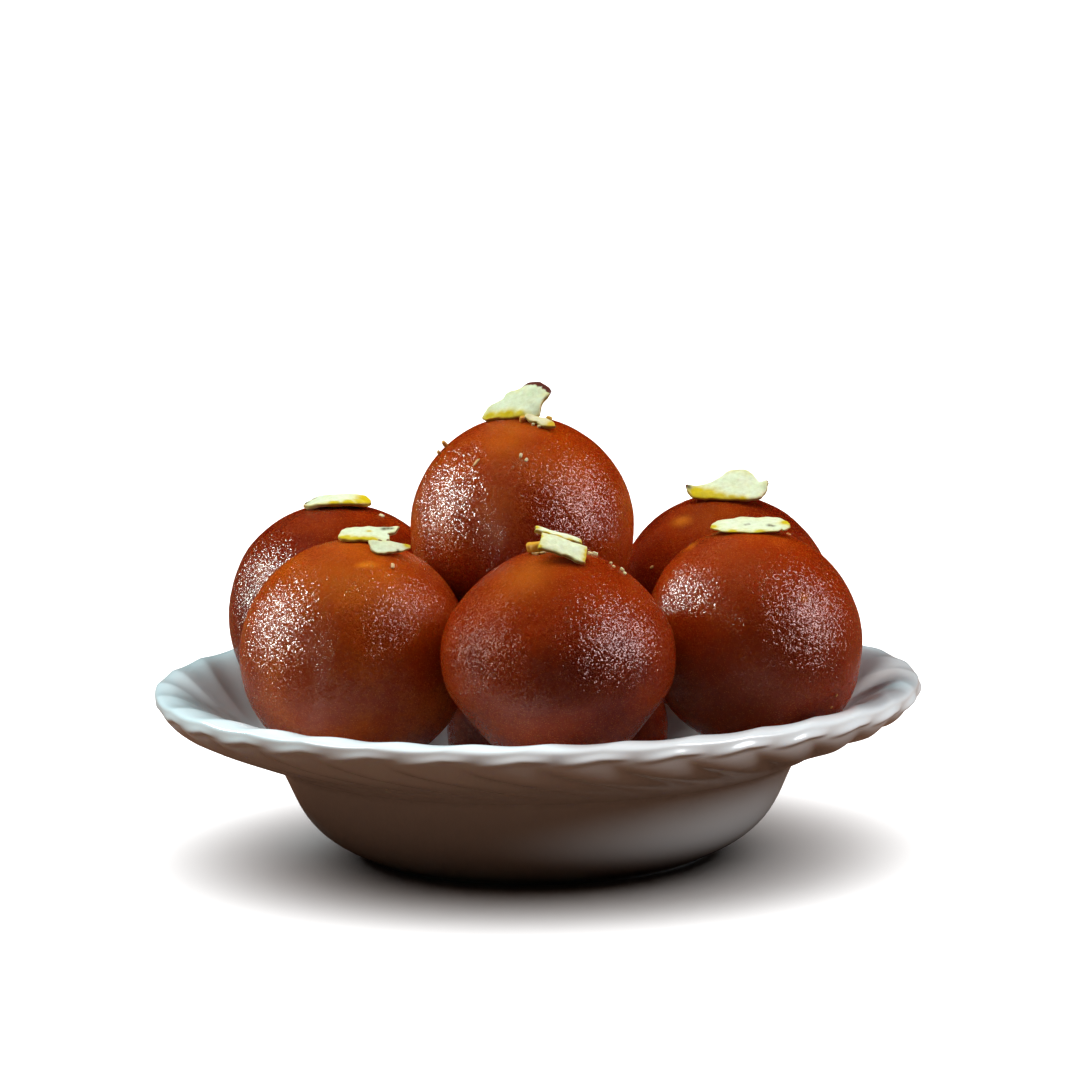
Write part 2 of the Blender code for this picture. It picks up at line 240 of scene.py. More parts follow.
def new_piece(name, points, faces, material, slot, **attributes):
    """A mesh object at the origin from arrays of points and of four-cornered faces, turned outwards.

    Each attribute is one number, or one for each point, which the material reads by its name.
    """
    corners = points[faces]
    volume = sum(np.einsum("ij,ij->", corners[:, 0], np.cross(corners[:, k], corners[:, k + 1]))
                 for k in (1, 2))
    if volume < 0:
        faces = faces[:, ::-1]
    mesh = bpy.data.meshes.new(name)
    mesh.vertices.add(len(points))
    mesh.vertices.foreach_set("co", np.ascontiguousarray(points, np.float32).ravel())
    mesh.loops.add(faces.size)
    mesh.loops.foreach_set("vertex_index", np.ascontiguousarray(faces, np.int32).ravel())
    mesh.polygons.add(len(faces))
    mesh.polygons.foreach_set("loop_start", np.arange(0, faces.size, 4, dtype=np.int32))
    mesh.update(calc_edges=True)
    mesh.shade_smooth()
    mesh.materials.append(material)
    for key, values in attributes.items():
        numbers = np.ascontiguousarray(np.broadcast_to(values, len(points)), np.float32)
        mesh.attributes.new(key, "FLOAT", "POINT").data.foreach_set("value", numbers)
    piece = bpy.data.objects.new(name, mesh)
    bpy.context.scene.collection.objects.link(piece)
    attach(piece, BODY)
    return piece


def welded(points, faces, step):
    """Join points that fall together: the points kept, the faces on them and the kept ones' numbers."""
    _, first, index = np.unique(np.round(points / step).astype(np.int64), axis=0,
                                return_index=True, return_inverse=True)
    return points[first], index.reshape(-1)[faces], first


def grid_faces(rows, columns, closed=False):
    """Quads between neighbouring points of a grid stored row by row, each row closed if asked."""
    r, c = np.meshgrid(np.arange(rows - 1), np.arange(columns if closed else columns - 1),
                       indexing="ij")
    c2 = (c + 1) % columns
    corners = (r * columns + c, r * columns + c2, (r + 1) * columns + c2, (r + 1) * columns + c)
    return np.stack(corners, axis=-1).reshape(-1, 4)


def box_of(node):
    return (np.array(corner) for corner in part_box(node))


# --- noise ---

def eased(t):
    """3t^2 - 2t^3, which runs from 0 to 1 and is level at both ends."""
    return t * t * (3 - 2 * t)


def hashed(cell, seed):
    """A number from 0 to 1 for each whole-numbered lattice point, by mixing its bits."""
    mixed = (cell[..., 0] * 374761393 + cell[..., 1] * 668265263 + cell[..., 2] * 1274126177
             + seed * 362437) & 0xFFFFFFFF
    mixed = ((mixed ^ (mixed >> 13)) * 1103515245) & 0xFFFFFFFF
    mixed = ((mixed ^ (mixed >> 16)) * 2654435761) & 0xFFFFFFFF
    return ((mixed ^ (mixed >> 15)) & 0xFFFFFF) / 0xFFFFFF


def smooth_noise(points, seed):
    """From -1 to 1: a hashed value at each corner of the unit cell, blended by eased shares."""
    cell = np.floor(points).astype(np.int64)
    blend = eased(points - cell)
    total = np.zeros(len(points))
    for corner in itertools.product((0, 1), repeat=3):
        weight = np.prod(np.where(corner, blend, 1 - blend), axis=1)
        total += weight * hashed(cell + np.array(corner), seed)
    return 2 * total - 1


def pebbles(points, seed):
    """From 0 to 1: one minus the squared distance to the nearest of one hashed point a cell."""
    cell = np.floor(points).astype(np.int64)
    nearest = np.ones(len(points))
    for step in itertools.product((-1, 0, 1), repeat=3):
        near = cell + np.array(step)
        place = near + np.stack([hashed(near, seed + k) for k in range(3)], axis=1)
        nearest = np.minimum(nearest, ((place - points) ** 2).sum(axis=1))
    return 1 - nearest


def spots(flat, places):
    """Soft spots: the largest of exp(-(distance / reach)^2) over the places, at points in mm."""
    total = np.zeros(len(flat))
    for x, y, reach in places:
        total = np.maximum(total, np.exp(-((flat[:, 0] - x) ** 2 + (flat[:, 1] - y) ** 2) / reach ** 2))
    return total


# --- settings and material tools ---

def metres(name, description, default):
    return FloatProperty(name=name, description=description, default=default, subtype="DISTANCE",
                         precision=5)


def degrees(name, description, default):
    return FloatProperty(name=name, description=description, default=math.radians(default),
                         subtype="ANGLE")


def number(name, description, default):
    return FloatProperty(name=name, description=description, default=default)


def tint(name, description, default):
    return FloatVectorProperty(name=name, description=description, default=default, subtype="COLOR")


def feed(tree, socket, value):
    """Link the socket to an output, or set it to a number, a vector or a colour."""
    if isinstance(value, bpy.types.NodeSocket):
        tree.links.new(value, socket)
    else:
        socket.default_value = (*value, 1.0) if socket.type == "RGBA" else value


def feed_all(tree, node, **inputs):
    """Feed inputs by name. An underscore stands for a space."""
    for key, value in inputs.items():
        feed(tree, node.inputs[key.replace("_", " ")], value)


def add_node(tree, kind, **inputs):
    node = tree.nodes.new(kind)
    feed_all(tree, node, **inputs)
    return node


def start_material(name, color):
    material = bpy.data.materials.new(name)
    material.use_nodes = True
    material.diffuse_color = (*color, 1.0)
    tree = material.node_tree
    shader = tree.nodes["Principled BSDF"]
    feed_all(tree, shader, Base_Color=color)
    return material, tree, shader


def let_light_in(tree, shader, weight, radius, scale):
    feed_all(tree, shader, Subsurface_Weight=weight, Subsurface_Radius=radius, Subsurface_Scale=scale)


def ramp(tree, factor, stops):
    """An eased colour ramp from (position, colour) stops."""
    node = add_node(tree, "ShaderNodeValToRGB", Fac=factor)
    node.color_ramp.interpolation = "EASE"
    elements = node.color_ramp.elements
    for _ in stops[len(elements):]:
        elements.new(0.5)
    for element, (position, color) in zip(elements, stops):
        element.position = position
        element.color = (*color, 1.0)
    return node.outputs["Color"]


def mix_color(tree, factor, first, second, mode="MIX"):
    node = tree.nodes.new("ShaderNodeMix")
    node.data_type = "RGBA"
    node.blend_type = mode
    for index, value in ((0, factor), (6, first), (7, second)):
        feed(tree, node.inputs[index], value)
    return node.outputs[2]


def math_node(tree, operation, first, second, kind="ShaderNodeMath"):
    node = tree.nodes.new(kind)
    node.operation = operation
    for socket, value in zip(node.inputs, (first, second)):
        feed(tree, socket, value)
    return node


def times(tree, first, second):
    return math_node(tree, "MULTIPLY", first, second).outputs[0]


def plus(tree, first, second, clamp=False):
    node = math_node(tree, "ADD", first, second)
    node.use_clamp = clamp
    return node.outputs[0]


def vector_node(tree, operation, first, second):
    node = math_node(tree, operation, first, second, "ShaderNodeVectorMath")
    return node.outputs["Value" if operation == "DOT_PRODUCT" else "Vector"]


def remap(tree, value, low, high, to_low=0.0, to_high=1.0):
    return add_node(tree, "ShaderNodeMapRange", Value=value, From_Min=low, From_Max=high,
                    To_Min=to_low, To_Max=to_high).outputs["Result"]


def attribute(tree, name):
    node = tree.nodes.new("ShaderNodeAttribute")
    node.attribute_name = name
    return node.outputs["Fac"]


def place_in_object(tree):
    return tree.nodes.new("ShaderNodeTexCoord").outputs["Object"]


def noise_texture(tree, place, scale, detail, roughness=0.5):
    return add_node(tree, "ShaderNodeTexNoise", Vector=place, Scale=scale, Detail=detail,
                    Roughness=roughness).outputs["Fac"]


def bump(tree, height, distance, strength):
    return add_node(tree, "ShaderNodeBump", Height=height, Distance=distance,
                    Strength=strength).outputs["Normal"]


def grain_group():
    """Relief of packed grains: cells of one size, each tilted its own way and a little domed.

    A cell's height is the way from its middle along a chance direction, so that single grains
    glint. Under them lies a coarser noise. The speck output marks the middles of some of the cells, pale
    grains that in the colour also paint glints.
    """
    group = bpy.data.node_groups.new("packed grains", "ShaderNodeTree")
    group.interface.new_socket("Place", in_out="INPUT", socket_type="NodeSocketVector")
    group.interface.new_socket("Grains per metre", in_out="INPUT", socket_type="NodeSocketFloat")
    for name in ("Height", "Mottle", "Specks"):
        group.interface.new_socket(name, in_out="OUTPUT", socket_type="NodeSocketFloat")
    place, per_metre = group.nodes.new("NodeGroupInput").outputs[:2]
    cells = add_node(group, "ShaderNodeTexVoronoi", Vector=place, Scale=per_metre)
    mottle = noise_texture(group, place, times(group, per_metre, 0.45), 3.0, 0.6)
    position, color, distance = (cells.outputs[key] for key in ("Position", "Color", "Distance"))
    away = vector_node(group, "SUBTRACT", place, position)
    lean = vector_node(group, "SUBTRACT", color, (0.5, 0.5, 0.5))
    tilted = times(group, vector_node(group, "DOT_PRODUCT", away, lean), times(group, per_metre, 2.0))
    domes = times(group, times(group, distance, distance), -0.5)
    height = plus(group, plus(group, tilted, domes), times(group, mottle, 0.9))
    specks_and_glints = times(group, remap(group, distance, 0.42, 0.15), remap(group, color, 0.40, 0.80))
    add_node(group, "NodeGroupOutput", Height=height, Mottle=mottle, Specks=specks_and_glints)
    return group


def grains(tree, place, per_metre):
    node = tree.nodes.new("ShaderNodeGroup")
    node.node_tree = grain_group()
    feed_all(tree, node, Place=place, Grains_per_metre=per_metre)
    return node.outputs[:3]


# --- bowl ---

class BowlSettings(bpy.types.PropertyGroup):
    rim_radius: metres("Rim radius", "Outer edge of the rim", float(BOWL_HIGH[0] - BOWL_LOW[0]) / 2)
    rim_height: metres("Rim height", "Top of the rim over the table", float(BOWL_HIGH[2]))
    glass: metres("Glass", "Wall thickness", 4 * MM)
    well_radius: metres("Well radius", "Outside, where the wall turns out", 58 * MM)
    well_height: metres("Well height", "Height of that turn", 21.8 * MM)
    foot_radius: metres("Foot radius", "Outside of the foot ring", 37.6 * MM)
    floor_radius: metres("Floor radius", "Level part of the well's floor", 35 * MM)
    floor_height: metres("Floor height", "Height of that floor", 4.2 * MM)
    lip_width: metres("Lip width", "Width over which the rim is rounded inwards", 7.2 * MM)
    flare_slope: degrees("Flare slope", "Slope of the side over the well", 25)
    foot_slope: degrees("Foot slope", "Slope of the well's wall at the foot", 20)
    wall_slope: degrees("Wall slope", "Slope of the well's wall at its top", 60)
    flute_count: IntProperty(name="Flutes", description="Flutes round the flare", default=32)
    flute_depth: metres("Flute depth", "Depth of the flutes", 1.2 * MM)
    flute_turn: degrees("Flute turn", "How far a flute swirls on its way in", 26)
    flute_phase: degrees("Flute phase", "Where the first flute starts", 273.5)
    flute_fade: metres("Flute fade", "Length over which the flutes rise from the well", 19 * MM)
    inner_share: number("Inner share", "Share of the flutes' depth inside", 0.3)
    rim_share: number("Rim share", "Share of the flutes' depth on the rim", 0.35)
    scallop_height: metres("Scallop height", "Height of the slanting scallops", 1.2 * MM)
    scallop_phase: degrees("Scallop phase", "Where the first scallop starts", 272.2)
    deepest: degrees("Deepest scallops", "Bearing at which the scallops are pressed deepest", 330)
    color: tint("Glass colour", "Colour of the opal glass", (0.78, 0.82, 0.83))


def opal_glass_material(settings):
    """White opal glass: even and glossy, with faint smears where it was wiped."""
    material, tree, shader = start_material("opal_glass", settings.color)
    place = place_in_object(tree)
    smear = noise_texture(tree, place, 45.0, 4.0, 0.55)
    wave = noise_texture(tree, place, 160.0, 2.0)
    smeared = [channel * 0.955 for channel in settings.color]
    feed_all(tree, shader, IOR=1.5, Base_Color=mix_color(tree, smear, settings.color, smeared),
             Roughness=remap(tree, smear, 0.35, 0.7, 0.16, 0.26), Normal=bump(tree, wave, 0.06 * MM, 0.6))
    let_light_in(tree, shader, 0.12, (1.0, 0.9, 0.8), 4 * MM)
    return material


def curve(start, leaving, reach, end, arriving, end_reach, count=60):
    """Points at equal steps of a cubic curve, for the angles at which it leaves and arrives.

    Each reach is the distance in mm from that end to the point that pulls the curve.
    """
    t = np.linspace(0, 1, count)[:, None]
    start, end = np.array(start), np.array(end)
    pull = start + reach * MM * np.array([math.cos(leaving), math.sin(leaving)])
    push = end - end_reach * MM * np.array([math.cos(arriving), math.sin(arriving)])
    return (1 - t) ** 3 * start + 3 * t * (1 - t) ** 2 * pull + 3 * t * t * (1 - t) * push + t ** 3 * end


def resampled(points, spacing):
    """The same line with points every spacing along it, in mm, or as it is for no spacing."""
    points = np.asarray(points)
    if spacing is None:
        return points
    run = np.concatenate([[0], np.cumsum(np.linalg.norm(np.diff(points, axis=0), axis=1))])
    even = np.linspace(0, run[-1], max(2, round(run[-1] / (spacing * MM)) + 1))
    return np.stack([np.interp(even, run, points[:, k]) for k in (0, 1)], axis=1)


def bowl_profile(s):
    """Half section as (radius, height, share of the flutes), from the floor's middle to the foot.

    The flare is straight, with the glass's thickness between its two sides. Cubic curves make the
    well's wall, the corner over it, the curl of the rim, its rounded edge and the way down from
    the crown to the flare. Each section has its points' spacing in mm and its flutes' share at
    its start and end.
    """
    slope = s.flare_slope
    inwards = math.pi

    def under(radius):
        return radius, s.well_height + (radius - s.well_radius) * math.tan(slope)

    def over(radius):
        return radius, under(radius)[1] + s.glass / math.cos(slope)

    foot = (s.foot_radius + 0.3 * MM, 0.6 * MM)
    well_top = (s.well_radius, s.well_height)
    outer_wall = curve(foot, s.foot_slope, 17, well_top, s.wall_slope, 9.5)
    curl_start = under(s.rim_radius - 6 * MM)
    edge = (s.rim_radius, s.rim_height - 1.2 * MM)
    curl = curve(curl_start, slope, 3.6, edge, math.radians(85), 3, 24)
    crown = (s.rim_radius - 0.45 * s.lip_width, s.rim_height)
    round_edge = curve(edge, math.radians(92), 0.6, crown, inwards, 2.4, 20)
    riser_foot = over(s.well_radius + 4 * MM)
    riser = curve(crown, inwards, 0.7 * s.lip_width / MM, riser_foot, inwards + slope, 7)
    floor_edge = (s.floor_radius, s.floor_height)
    below_corner = (s.well_radius - 3 * MM, over(s.well_radius)[1] - 2.3 * MM)
    past_corner = over(s.well_radius + 1.2 * MM)
    inner_wall = curve(floor_edge, 0.0, 14, below_corner, s.wall_slope, 9)
    corner = curve(below_corner, s.wall_slope, 1.6, past_corner, slope, 1.6, 14)
    underside = (31.8 * MM, 0.9 * MM)
    ring = [foot, (s.foot_radius, 0.15 * MM), (s.foot_radius - 0.2 * MM, 0.0), (33.2 * MM, 0.0),
            (32.9 * MM, 0.2 * MM), underside]
    inside, rim, outside = s.inner_share, s.rim_share, 1.0
    sections = (
        ([(0.0, s.floor_height), floor_edge], 4, 0.0, 0.0), (inner_wall, 1.6, 0.0, inside),
        (corner, 0.6, inside, inside), ([past_corner, riser_foot], 1.2, inside, inside),
        (riser[::-1], 0.5, inside, rim), (round_edge[::-1], 0.3, rim, rim),
        (curl[::-1], 0.3, rim, outside), ([curl_start, well_top], 0.9, outside, outside),
        (outer_wall[::-1], 1.6, 0.0, 0.0), (ring, None, 0.0, 0.0),
        ([underside, (0.0, underside[1])], 4, 0.0, 0.0))
    rows = []
    for line, spacing, first, last in sections:
        line = resampled(line, spacing)
        rows.append(np.column_stack([line, np.linspace(first, last, len(line))])[1 if rows else 0:])
    return np.concatenate(rows)


def flute_drop(s, radius, angle):
    """Depth of the pressed flutes: one rounded lobe a share of the turn, with a sharper crest between.

    The lobe is the absolute cosine of half the share's angle. It swirls as it runs inwards and
    fades out at the well.
    """
    inward = (s.rim_radius - radius) / (s.rim_radius - s.well_radius)
    phase = s.flute_count * (angle - s.flute_phase - s.flute_turn * inward)
    lobe = np.abs(np.cos(phase / 2)) ** 1.2
    return s.flute_depth * lobe * eased(np.clip((radius - s.well_radius - 1 * MM) / s.flute_fade, 0, 1))


def scallops(s, radius, height, angle):
    """How far the outside stands out in slanting scallops under the lip.

    Each one is a ridge that climbs towards the lip as the angle grows: a bell across the ridge,
    steeper below, times the sine of the way along it, so that it is closed at both ends. They
    are pressed deepest at one bearing and shallowest opposite it.
    """
    share = (s.flute_count * (angle - s.scallop_phase) / (2 * np.pi)) % 1.0
    below = (s.rim_height - height) / MM
    under_lip = (radius > s.rim_radius - 6.5 * MM) & (below > 0.9)
    past = below - 3.6 + 0.9 * share
    ridge = np.sin(np.pi * share) ** 1.2 * np.exp(-(past / np.where(past > 0, 0.5, 1.1)) ** 2)
    pressed = 0.6 + 0.4 * np.cos(angle - s.deepest)
    return np.where(under_lip, s.scallop_height * pressed * ridge, 0.0)


def close_poles(piece):
    """Fill the small round openings that are left where a turned surface meets its axis."""
    bm = bmesh.new()
    bm.from_mesh(piece.data)
    bmesh.ops.holes_fill(bm, edges=[edge for edge in bm.edges if edge.is_boundary], sides=0)
    bm.to_mesh(piece.data)
    bm.free()
    piece.data.shade_smooth()


class SWEETS_OT_bowl(bpy.types.Operator):
    """Make the fluted opal glass bowl"""

    bl_idname = "sweets.bowl"
    bl_label = "Bowl"

    def execute(self, context):
        s = context.scene.sweets_bowl
        line = bowl_profile(s)
        steps = s.flute_count * STEPS_A_FLUTE
        angle = np.arange(steps) * 2 * np.pi / steps
        radius, turn = np.meshgrid(line[:, 0], angle, indexing="ij")
        height = np.repeat(line[:, 1:2], steps, axis=1)
        radius = radius + scallops(s, radius, height, turn)
        height = height - line[:, 2:] * flute_drop(s, radius, turn)
        points = np.stack([radius * np.cos(turn), radius * np.sin(turn), height], axis=-1).reshape(-1, 3)
        points, faces, _ = welded(points, grid_faces(len(line), steps, closed=True), WELD)
        quads = faces[(faces[:, 0] != faces[:, 1]) & (faces[:, 2] != faces[:, 3])]
        bowl = new_piece("glass_bowl", points, quads, opal_glass_material(s), "opal_glass")
        close_poles(bowl)
        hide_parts("bowl")
        return {"FINISHED"}


# --- sweets ---

class SweetSettings(bpy.types.PropertyGroup):
    grid_steps: IntProperty(name="Grid steps", description="Steps along each side of the cube grid",
                            default=118)
    dents: metres("Dents", "Height of the shallow dents", 0.1 * MM)
    lumps: metres("Lumps", "Height of the small lumps", 0.04 * MM)
    coarse_grain: metres("Coarse grain", "Height of the coarse grains", 0.08 * MM)
    coarse_size: metres("Coarse grain size", "Distance between coarse grains", 0.85 * MM)
    grain_height: metres("Grain height", "Height of the fine grains", 0.085 * MM)
    grains_per_metre: number("Grains per metre", "Fineness of the fine grains", 3300.0)
    color: tint("Dough", "Main colour of the fried skin", (0.36, 0.048, 0.003))
    # Through each sweet's tone the dark and amber colours also paint shade and light.
    dark_color: tint("Dark dough", "Where it is fried darkest", (0.2, 0.016, 0.002))
    amber_color: tint("Amber dough", "Where it is fried least", (0.52, 0.1, 0.004))
    # The patch colour is also that of the painted light glow.
    patch_and_glow_color: tint("Patches", "Pale spots of bare dough", (0.75, 0.25, 0.015))
    # Pale grains, whose colour also paints glints across the skin.
    speck_and_glint_color: tint("Specks", "Pale grains in the skin", (0.8, 0.27, 0.06))


def fried_dough_material(settings):
    """Deep red-brown fried dough soaked in syrup: pebbled, translucent and wet."""
    material, tree, shader = start_material("fried_dough", settings.color)
    place = place_in_object(tree)
    height, mottle, specks_and_glints = grains(tree, place, settings.grains_per_metre)
    cloud = noise_texture(tree, place, 75.0, 3.0)
    # The tone attribute adds painted light and shade, sweet by sweet.
    tone = plus(tree, times(tree, cloud, 0.55), times(tree, attribute(tree, "tone"), 0.35))
    tone = plus(tree, tone, times(tree, mottle, 0.25), clamp=True)
    body = ramp(tree, tone, [(0.30, settings.dark_color), (0.62, settings.color),
                             (0.85, settings.amber_color)])
    # The amber attribute mixes in the bare spots and the painted light glow.
    body = mix_color(tree, times(tree, attribute(tree, "amber"), 0.9), body, settings.patch_and_glow_color)
    # Pale grain dots, which also paint glints.
    body = mix_color(tree, times(tree, specks_and_glints, 0.50), body, settings.speck_and_glint_color)
    feed_all(tree, shader, IOR=1.46, Base_Color=body, Roughness=remap(tree, mottle, 0.3, 0.7, 0.12, 0.22),
             Normal=bump(tree, height, settings.grain_height, 1.0))
    let_light_in(tree, shader, 0.5, (1.0, 0.12, 0.02), 5 * MM)
    return material


def sphere_grid(steps):
    """Directions on the unit sphere: a cube's six sides, gridded by equal angles and blown up."""
    line = np.tan(np.linspace(-np.pi / 4, np.pi / 4, steps + 1))
    u, v = (a.ravel() for a in np.meshgrid(line, line, indexing="ij"))
    points, faces = [], []
    for axis, sign in itertools.product(range(3), (1, -1)):
        side = np.empty((len(u), 3))
        side[:, axis], side[:, (axis + 1) % 3], side[:, (axis + 2) % 3] = sign, u, v
        quads = grid_faces(steps + 1, steps + 1) + len(points) * len(u)
        faces.append(quads if sign > 0 else quads[:, ::-1])
        points.append(side / np.linalg.norm(side, axis=1)[:, None])
    points, faces, _ = welded(np.concatenate(points), np.concatenate(faces), 1e-6)
    return points, faces


def sweet_shape(direction, reach, roundness, lean, seed):
    """Points for unit directions: a leaning, uneven superellipse, unlike above and below.

    The exponent starts from a circle's at the widest level, so the two halves join smoothly. The
    unevenness is a sum of slow waves along X, Y and Z.
    """
    x, y, z = direction.T
    side = np.where(z >= 0, 0, 1)
    away = eased(np.minimum(np.abs(z) / 0.6, 1.0))
    power = 2.0 / (2.0 + (np.array(roundness)[side] - 2.0) * away)
    swell = (np.sin(2.1 * x + 1.7 * seed) * np.cos(1.8 * y - 0.9 * seed)
             + 0.6 * np.sin(3.2 * z + 2.3 * seed + 1.3 * x)
             + 0.4 * np.cos(3.9 * y + 1.1 * seed - 1.7 * z))
    swell = 1 + UNEVENNESS * swell
    around = np.hypot(x, y)
    height = np.sign(z) * np.array(reach)[side] * np.abs(z) ** power * swell
    width = np.where(around > 1e-9, around ** power / np.maximum(around, 1e-9), 0.0) * swell
    return np.stack([x * width + lean[0] * height, y * width + lean[1] * height, height], axis=1)


def placed_sweet(name, direction):
    """The sweet's surface points for unit directions, fitted to its solid's box."""
    shape = SWEETS[name][:4]
    probe = sweet_shape(sphere_grid(24)[0], *shape)
    low, high = box_of(name)
    scale = (high - low) / (probe.max(axis=0) - probe.min(axis=0))
    return (sweet_shape(direction, *shape) - probe.min(axis=0)) * scale + low


def height_of_sweet(name, points):
    """Height of the sweet's upper half at each point's place, from the superellipse in its box."""
    low, high = box_of(name)
    (up, down), (roundness, _), lean, _, _ = SWEETS[name]
    rise = (high[2] - low[2]) * up / (up + down)
    half = (high[:2] - low[:2]) / 2
    crown = (low[:2] + high[:2]) / 2 + np.array(lean) * rise
    share = np.minimum((((points[:, :2] - crown) / half) ** 2).sum(axis=1), 1.0)
    return high[2] - rise + rise * (1 - share ** (roundness / 2)) ** (1 / roundness)


def facing(bearing, height):
    """Unit directions outwards, across to the left and upwards, for angles in degrees."""
    a, h = math.radians(bearing), math.radians(height)
    out = np.array([math.cos(a) * math.cos(h), math.sin(a) * math.cos(h), math.sin(h)])
    across = np.array([-math.sin(a), math.cos(a), 0.0])
    return out, across, np.cross(out, across)


def bare_spots_and_painted_glow(name, direction):
    """Soft spots of paler skin and of painted light: the largest bell over the angles from each patch's
    middle.
    """
    total = np.zeros(len(direction))
    low, high = box_of(name)
    radius = (high[0] - low[0]) / 2 / MM
    for sweet, bearing, height, along, upwards, strength in PATCHES_AND_PAINTED_GLOW:
        if sweet == name:
            out, across, up = facing(bearing, height)
            x, y = (direction @ across) * radius / along, (direction @ up) * radius / upwards
            total = np.maximum(total, strength * np.exp(-x * x - y * y) * (direction @ out > 0))
    return total


def skin_relief(points, seed, settings):
    """Height of the fried skin: shallow dents, gentle lumps and, over them, packed coarse grains."""
    place = points / MM
    dents = smooth_noise(place / DENT_SIZE + 3.1 * seed, seed)
    lumps = smooth_noise(place / LUMP_SIZE + 1.7 * seed, seed + 20)
    coarse = pebbles(place / settings.coarse_size * MM + 0.7 * seed, seed + 40) - 0.6
    return settings.dents * dents + settings.lumps * lumps + settings.coarse_grain * coarse


class SWEETS_OT_sweets(bpy.types.Operator):
    """Make the pebbled fried sweets"""

    bl_idname = "sweets.sweets"
    bl_label = "Sweets"

    def execute(self, context):
        settings = context.scene.sweets_dough
        material = fried_dough_material(settings)
        direction, faces = sphere_grid(settings.grid_steps)
        # Each sweet's tone is painted light and shade.
        for name, (_, _, _, seed, tone) in SWEETS.items():
            points = placed_sweet(name, direction)
            points = points + direction * skin_relief(points, seed, settings)[:, None]
            # amber carries the bare spots and the painted light glow.
            sweet = new_piece(name.replace("ball", "sweet"), points, faces, material, "fried_dough",
                              tone=tone, amber=bare_spots_and_painted_glow(name, direction))
            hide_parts(name)
        return {"FINISHED"}


# --- almond slices and crumbs ---

class AlmondSettings(bpy.types.PropertyGroup):
    color: tint("Almond", "Colour of the cut face", (0.78, 0.9, 0.7))
    fibre_color: tint("Fibres", "What the cut face's darkest fibres multiply its colour by",
                      (0.84, 0.83, 0.78))
    mark_color: tint("Marks", "Colour of the small bruises", (0.12, 0.12, 0.06))
    edge_color: tint("Edge", "Colour towards the edge", (0.66, 0.55, 0.012))
    rim_color: tint("Rim", "Colour of the thin dry rim", (0.3, 0.23, 0.05))
    syrup_color: tint("Soaked", "Where syrup has soaked in", (0.62, 0.27, 0.04))
    skin_color: tint("Skin", "Colour of the almond's skin", (0.13, 0.035, 0.025))


def almond_material(settings):
    """Sliced almond: pale cream, yellower towards its cut edges, with a rim of brown skin."""
    material, tree, shader = start_material("sliced_almond", settings.color)
    place = place_in_object(tree)
    fibre = noise_texture(tree, place, 900.0, 4.0, 0.6)
    cloud = noise_texture(tree, place, 260.0, 3.0)
    yellow = plus(tree, attribute(tree, "edge"), remap(tree, cloud, 0.5, 0.8, -0.05, 0.22), clamp=True)
    body = mix_color(tree, yellow, settings.color, settings.edge_color)
    body = mix_color(tree, remap(tree, fibre, 0.35, 0.7), body, settings.fibre_color, "MULTIPLY")
    for name, share, color in (("syrup", 0.9, settings.syrup_color), ("rim", 0.75, settings.rim_color),
                               ("marks", 1.0, settings.mark_color)):
        body = mix_color(tree, times(tree, attribute(tree, name), share), body, color)
    ragged = times(tree, attribute(tree, "skin"), remap(tree, fibre, 0.3, 0.6, 0.75, 1.25))
    body = mix_color(tree, remap(tree, ragged, 0.35, 0.6), body, settings.skin_color)
    feed_all(tree, shader, Base_Color=body, Roughness=remap(tree, fibre, 0.3, 0.7, 0.40, 0.60),
             Normal=bump(tree, fibre, 0.12 * MM, 0.7))
    let_light_in(tree, shader, 0.35, (1.0, 0.7, 0.3), 1.2 * MM)
    return material


def curve_through(knots, t):
    """Points at shares t of a curve's length: a cubic from knot to knot, its slopes from the neighbours."""
    knots = np.array(knots, dtype=float)
    run = np.concatenate([[0], np.cumsum(np.linalg.norm(np.diff(knots, axis=0), axis=1))])
    run /= run[-1]
    slope = np.gradient(knots, run, axis=0)
    index = np.clip(np.searchsorted(run, t, side="right") - 1, 0, len(knots) - 2)
    step = (run[index + 1] - run[index])[:, None]
    u = (t[:, None] - run[index][:, None]) / step
    turning = (1 - u) * slope[index] - u * slope[index + 1]
    return knots[index] + eased(u) * (knots[index + 1] - knots[index]) + u * (1 - u) * step * turning


